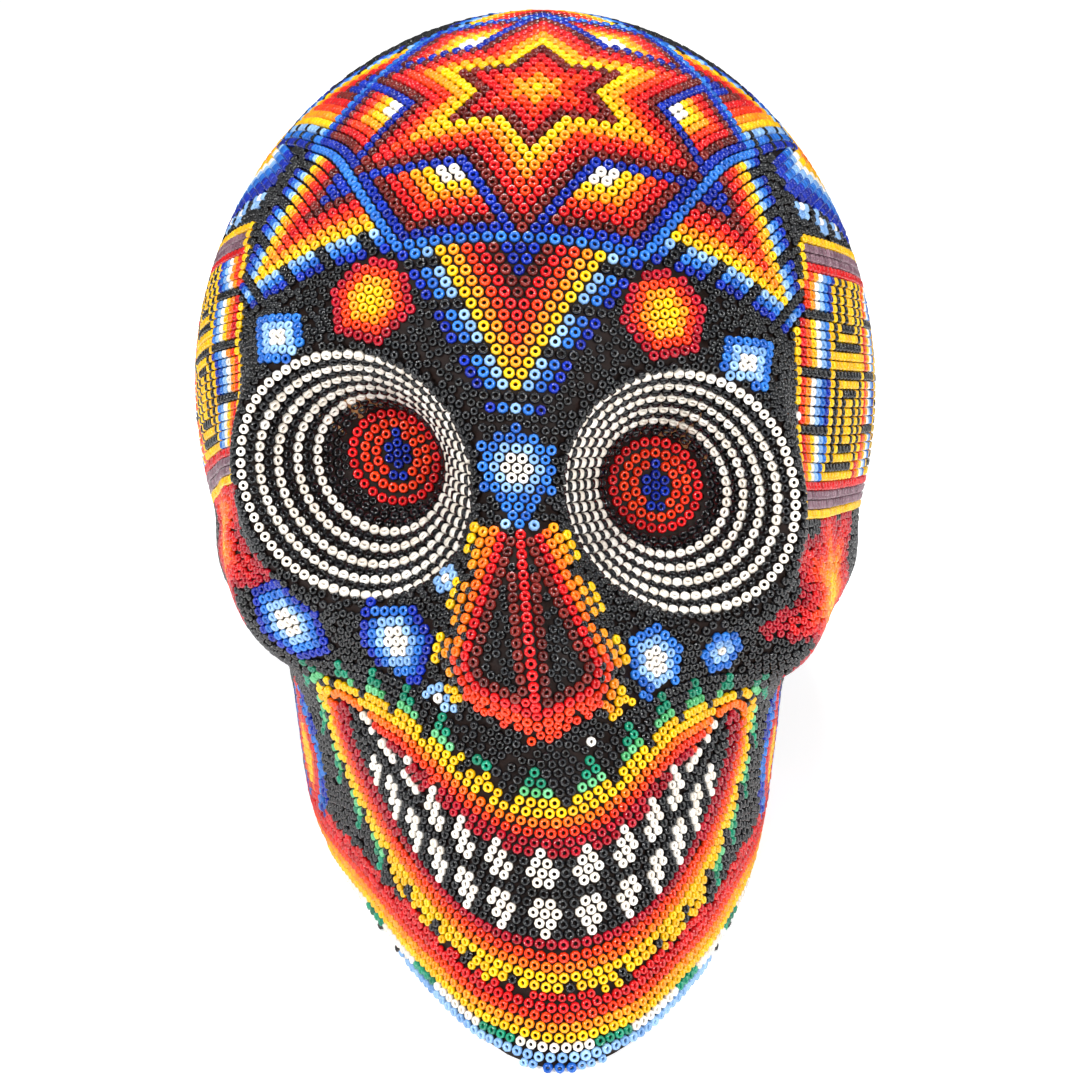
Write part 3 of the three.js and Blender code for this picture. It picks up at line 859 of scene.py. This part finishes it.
for i in range(drawn, len(spots)):
    inks[i] = ground_letter(spots[i], hand[i])
inks = np.array(inks)

# ---- One bead: a short fat ring of glass, its hole upright ----
clear_selection()
ROUND, SECTION = 8, 5  # faces round the bead and round its glass
bpy.ops.mesh.primitive_torus_add(
    major_segments=ROUND, minor_segments=SECTION, major_radius=0.68, minor_radius=0.34, location=(0, 0, 0)
)
bead = bpy.context.object
bpy.ops.object.mode_set(mode="EDIT")
bpy.ops.mesh.select_all(action="SELECT")
bpy.ops.transform.resize(value=(1, 1, 2.05))
bpy.ops.mesh.normals_make_consistent(inside=False)
bpy.ops.object.mode_set(mode="OBJECT")
bead_points = np.array([v.co for v in bead.data.vertices])
bead_faces = np.array([f.vertices for f in bead.data.polygons])
bpy.data.objects.remove(bead)

# Each face of a bead keeps a small square of its bead's own cell on the UV map.
face_slots = np.arange(len(bead_faces))
face_u, face_v = face_slots % ROUND, face_slots // ROUND
square = np.array(((0, 0), (1, 0), (1, 1), (0, 1)))
bead_uv = (np.stack((face_u, face_v), -1)[:, None] + square * 0.8 + 0.1) / (ROUND, SECTION)
bead_uv = bead_uv * 0.9 + 0.05

# ---- A frame for every bead: its axis leaves the wax squarely, give or take a few degrees ----
out = unit(slope(spots))
aside = unit(np.cross(out, np.where(np.abs(out[:, 2:]) < 0.8, (0, 0, 1.0), (1.0, 0, 0))))
over = np.cross(out, aside)
step = 0.2
east = by_hand(spots + step * aside) - hand
north = by_hand(spots + step * over) - hand
axis = unit(np.cross(east, north))
axis *= np.sign((axis * out).sum(-1))[:, None]
axis = unit(axis + rng.normal(0, 0.06, axis.shape))
east = unit(east - (east * axis).sum(-1)[:, None] * axis)
north = np.cross(axis, east)
spin = rng.random(len(spots)) * 2 * math.pi
right = east * np.cos(spin)[:, None] + north * np.sin(spin)[:, None]
up = np.cross(axis, right)
size = size * rng.normal(1, 0.012, len(spots))
tall = size * rng.normal(1, 0.05, len(spots))
tint = rng.random(len(spots))

# ---- Materials ----
def linear(code):
    """An sRGB hex colour as linear numbers."""
    parts = [int(code[i : i + 2], 16) / 255 for i in (1, 3, 5)]
    return tuple(c / 12.92 if c < 0.04045 else ((c + 0.055) / 1.055) ** 2.4 for c in parts) + (1,)


def new_material(name):
    material = bpy.data.materials.new(name)
    material.use_nodes = True
    return material, material.node_tree, material.node_tree.nodes["Principled BSDF"]


def add(tree, kind, links=None, **settings):
    """Adds a node. Settings are its own properties, or its inputs by name or number; links join inputs."""
    node = tree.nodes.new(kind)
    for name, value in settings.items():
        setattr(node, name, value)
    for name, source in (links or {}).items():
        if hasattr(source, "is_output"):
            tree.links.new(source, node.inputs[name])
        else:
            node.inputs[name].default_value = source
    return node


def mixed(tree, factor, low, high):
    links = {"Factor": factor, 6: low, 7: high}
    return add(tree, "ShaderNodeMix", links, data_type="RGBA").outputs[2]


# Glass seed beads, 2.1 mm across: a wet, sharp glint on each shoulder and a darker hole. Beads of one
# colour come from several batches, so each lies between a darker and a lighter shade. Towards the foot of
# each bead and down its hole the colour is mixed towards dark brown. This is painted shade where the bead
# sinks into the wax, together with the wax that clings there. Opaque colours are a shade less glossy than
# clear ones.
GLASS = {
    "K": ("black_glass", "#08090b", "#191b1f", 0.13),  # the ground: near black, all glints
    "W": ("ivory_white_glass", "#e4dbcd", "#f7f2ea", 0.22),  # teeth and socket rings: warm, chalky
    "R": ("red_glass", "#b2050e", "#dc1418", 0.14),  # pure warm red
    "C": ("crimson_glass", "#8c0618", "#b60e26", 0.12),  # the lips: deeper and cooler than the red
    "B": ("garnet_brown_glass", "#4c0e0c", "#7e221c", 0.12),  # dark edge of the star and nose
    "H": ("vermilion_glass", "#d42404", "#f23e0a", 0.17),  # between red and orange
    "O": ("orange_glass", "#ea5a00", "#fa7608", 0.18),
    "L": ("light_orange_glass", "#ee7e02", "#fb9e12", 0.19),  # softens orange into yellow
    "Y": ("yellow_glass", "#e6aa00", "#f8c802", 0.2),  # egg yellow, the brightest edge
    "N": ("dark_blue_glass", "#041a80", "#0a2eac", 0.14),  # cobalt, deep next to the black
    "M": ("mid_blue_glass", "#1450a6", "#2a78d2", 0.17),
    "S": ("light_blue_glass", "#6c98ce", "#96bee6", 0.2),  # milky sky blue
    "T": ("teal_glass", "#046c50", "#0c9470", 0.15),  # tips of the green triangles
    "G": ("light_green_glass", "#42a05e", "#70c48a", 0.2),  # their milky feet
    "P": ("mauve_brown_glass", "#664854", "#8c6c78", 0.17),  # dull frame of the temple panels
}
# the dark brown that the feet and holes of the beads are mixed towards: painted shade, with a film of wax
WAX_FILM_AND_SHADE = "#2a1408"


def glass_material(name, dark, light, roughness):
    material, nodes, shader = new_material(name)
    batch = add(nodes, "ShaderNodeAttribute", attribute_name="batch")
    depth = add(nodes, "ShaderNodeAttribute", attribute_name="depth")
    colour = mixed(nodes, batch.outputs["Fac"], linear(dark), linear(light))
    # painted shade: darker towards each bead's foot and down its hole as the depth attribute rises,
    # together with a wax film
    filmed_and_shaded = mixed(nodes, depth.outputs["Fac"], colour, linear(WAX_FILM_AND_SHADE))
    nodes.links.new(filmed_and_shaded, shader.inputs["Base Color"])
    shader.inputs["Roughness"].default_value = roughness
    shader.inputs["IOR"].default_value = 1.52
    return material


def lumpy_material(name, pattern, colours, strength, relief, roughness):
    """A matt material whose pattern sets both its colour and its relief."""
    material, nodes, shader = new_material(name)
    place = add(nodes, "ShaderNodeTexCoord")
    turned = add(nodes, "ShaderNodeMapping", {"Vector": place.outputs["Object"], "Scale": pattern[0]})
    links = {"Vector": turned.outputs[0], "Scale": pattern[1], "Detail": pattern[2]}
    height_at = add(nodes, "ShaderNodeTexNoise", links).outputs["Fac"]
    links = {"Height": height_at, "Strength": strength, "Distance": relief}
    bump = add(nodes, "ShaderNodeBump", links)
    colour = mixed(nodes, height_at, linear(colours[0]), linear(colours[1]))
    nodes.links.new(colour, shader.inputs["Base Color"])
    nodes.links.new(bump.outputs["Normal"], shader.inputs["Normal"])
    shader.inputs["Roughness"].default_value = roughness
    return material, shader


glass = {letter: glass_material(*recipe) for letter, recipe in GLASS.items()}

# Beeswax, darkened with resin and soot: a soft dark seam in the gaps between beads, dull and hardly
# reflecting, with lumps about 1.1 mm across (scale 900 per metre) left by the thumb
beeswax, shader = lumpy_material(
    "dark_beeswax", ((1, 1, 1), 900.0, 3.0), ("#080403", "#20100a"), 0.4, 0.0002, 0.6
)
shader.inputs["Specular IOR Level"].default_value = 0.15

# Bare carved wood, hidden under the wax: matt brown with grain lines about 2.6 mm apart (scale 380 per
# metre), drawn out eight times along the length of the head
wood, _ = lumpy_material(
    "carved_wood", ((1, 0.12, 1), 380.0, 6.0), ("#7a5230", "#b98a58"), 0.3, 0.0003, 0.6
)
core = frame["nodes"]["wood_core"]
core.data.materials.clear()
core.data.materials.append(wood)

# ---- The wax skin ----
placed = packed(by_hand(skin))
placed[:, 2] = np.maximum(placed[:, 2], 0.0006)
wax.data.vertices.foreach_set("co", placed.ravel())
wax.data.materials.append(beeswax)
wax.data.update()
clear_selection()
wax.select_set(True)
bpy.context.view_layer.objects.active = wax
bpy.ops.object.shade_smooth()
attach(wax, "root")
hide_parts("wax_coat")

# ---- Bead fields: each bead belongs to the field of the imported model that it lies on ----
fields = [name for name in frame["nodes"] if name not in ("wood_core", "wax_coat")]
field_points, field_faces, owner = [], [], []
for number, name in enumerate(fields):
    mesh = frame["nodes"][name].data
    base = len(field_points)
    field_points += [v.co[:] for v in mesh.vertices]
    for f in mesh.polygons:
        field_faces.append([base + v for v in f.vertices])
        owner.append(number)
field_tree = BVHTree.FromPolygons(field_points, field_faces)
metres = packed(hand)
belongs = np.array([owner[field_tree.find_nearest(Vector(p))[2]] for p in metres])

MOST = 2400  # beads in one piece
FOOT = 0.0002  # no bead reaches lower than this, in metres


def bead_corners(group):
    """Every corner of the group's beads, in metres."""
    local = bead_points[None] * np.stack((size[group], size[group], tall[group]), -1)[:, None]
    turn = np.stack((right[group], up[group], axis[group]), 1)
    placed = packed(hand[group][:, None] + np.einsum("nvi,nij->nvj", local, turn))
    placed[..., 2] = np.maximum(placed[..., 2], FOOT)
    return placed


def bead_cells(n):
    """Each bead's own cell on the UV map, in rows that fill the square."""
    side = math.ceil(math.sqrt(n * 1.6))
    spot = np.arange(n)
    cell_at = np.stack((spot % side, spot // side), -1)
    return (bead_uv[None] + cell_at[:, None, None]) / (side, math.ceil(n / side))


def bead_mesh(title, group):
    """One mesh of all the beads of a group."""
    n, corners, faces = len(group), len(bead_points), len(bead_faces)
    mesh = bpy.data.meshes.new(title)
    mesh.vertices.add(n * corners)
    mesh.vertices.foreach_set("co", bead_corners(group).ravel())
    mesh.loops.add(n * faces * 4)
    all_faces = bead_faces[None] + (np.arange(n) * corners)[:, None, None]
    mesh.loops.foreach_set("vertex_index", all_faces.ravel())
    mesh.polygons.add(n * faces)
    mesh.polygons.foreach_set("loop_start", np.arange(n * faces) * 4)
    mesh.uv_layers.new(name="OFBake").data.foreach_set("uv", bead_cells(n).ravel())
    batch = mesh.attributes.new("batch", "FLOAT", "POINT")
    batch.data.foreach_set("value", np.repeat(tint[group], corners))
    # how far down its bead each corner lies; this paints shade, with some wax film, on the bead's foot and
    # the lower part of its hole
    depth = mesh.attributes.new("depth", "FLOAT", "POINT")
    sunk = np.clip(0.15 - bead_points[:, 2] / 0.7, 0, 1) * 0.4
    depth.data.foreach_set("value", np.tile(sunk, n))
    used = [k for k in GLASS if k in set(inks[group])]
    for letter in used:
        mesh.materials.append(glass[letter])
    index = np.array([used.index(k) for k in inks[group]])
    mesh.polygons.foreach_set("material_index", np.repeat(index, faces))
    mesh.polygons.foreach_set("use_smooth", np.ones(n * faces, bool))
    mesh.update()
    mesh.validate()
    return mesh


for number, name in enumerate(fields):
    mine = np.flatnonzero(belongs == number)
    if not len(mine):
        continue
    parts = math.ceil(len(mine) / MOST)
    mine = mine[np.argsort(metres[mine, 1], kind="stable")]
    for part, group in enumerate(np.array_split(mine, parts)):
        title = name if name.endswith("beads") else name + "_beads"
        title += f"_{part + 1}" if parts > 1 else ""
        piece = bpy.data.objects.new(title, bead_mesh(title, group))
        bpy.context.scene.collection.objects.link(piece)
        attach(piece, "root")
        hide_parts(name)

# ---- Floor, light and camera ----
clear_selection()
bpy.ops.mesh.primitive_plane_add(size=8, location=(0, 0, 0))
floor = bpy.context.object
floor.name = "floor"
# White paper under the studio light: even and matt, almost free of shadow
paper, nodes, shader = new_material("white_paper_sweep")
shader.inputs["Base Color"].default_value = linear("#f6f6f6")
shader.inputs["Emission Color"].default_value = (1, 1, 1, 1)
shader.inputs["Emission Strength"].default_value = 0.5
shader.inputs["Roughness"].default_value = 0.9
floor.data.materials.append(paper)

scene = bpy.context.scene
scene.view_settings.view_transform = "Standard"
world = bpy.data.worlds.new("studio")
scene.world = world
world.use_nodes = True
backdrop = world.node_tree.nodes["Background"]
backdrop.inputs["Color"].default_value = (1, 1, 1, 1)
backdrop.inputs["Strength"].default_value = 0.3


def softbox(name, place, aim, width, power):
    """A round lamp this wide, in metres and watts, aimed at a point of the head."""
    lamp = bpy.data.lights.new(name, "AREA")
    lamp.shape = "DISK"
    lamp.size = width
    lamp.energy = power
    holder = bpy.data.objects.new(name, lamp)
    bpy.context.scene.collection.objects.link(holder)
    holder.location = place
    holder.rotation_euler = (Vector(aim) - Vector(place)).to_track_quat("-Z", "Y").to_euler()


softbox("softbox_left", (-0.6, -0.8, 0.85), (0, -0.02, 0.08), 0.17, 12)
softbox("softbox_right", (0.45, -0.85, 0.6), (0, -0.02, 0.08), 0.14, 8)
softbox("softbox_top", (0.05, 0.15, 1.1), (0, 0, 0.1), 0.3, 7)

# The camera stands before the face and looks down on it at 24 degrees.
camera = bpy.data.objects.new("camera", bpy.data.cameras.new("camera"))
scene.collection.objects.link(camera)
camera.location = (0, -0.4023, 0.2314)
camera.rotation_euler = (math.radians(66), 0, 0)
camera.data.sensor_width = 36
camera.data.lens = 66.54
camera.data.clip_start = 0.01
scene.camera = camera
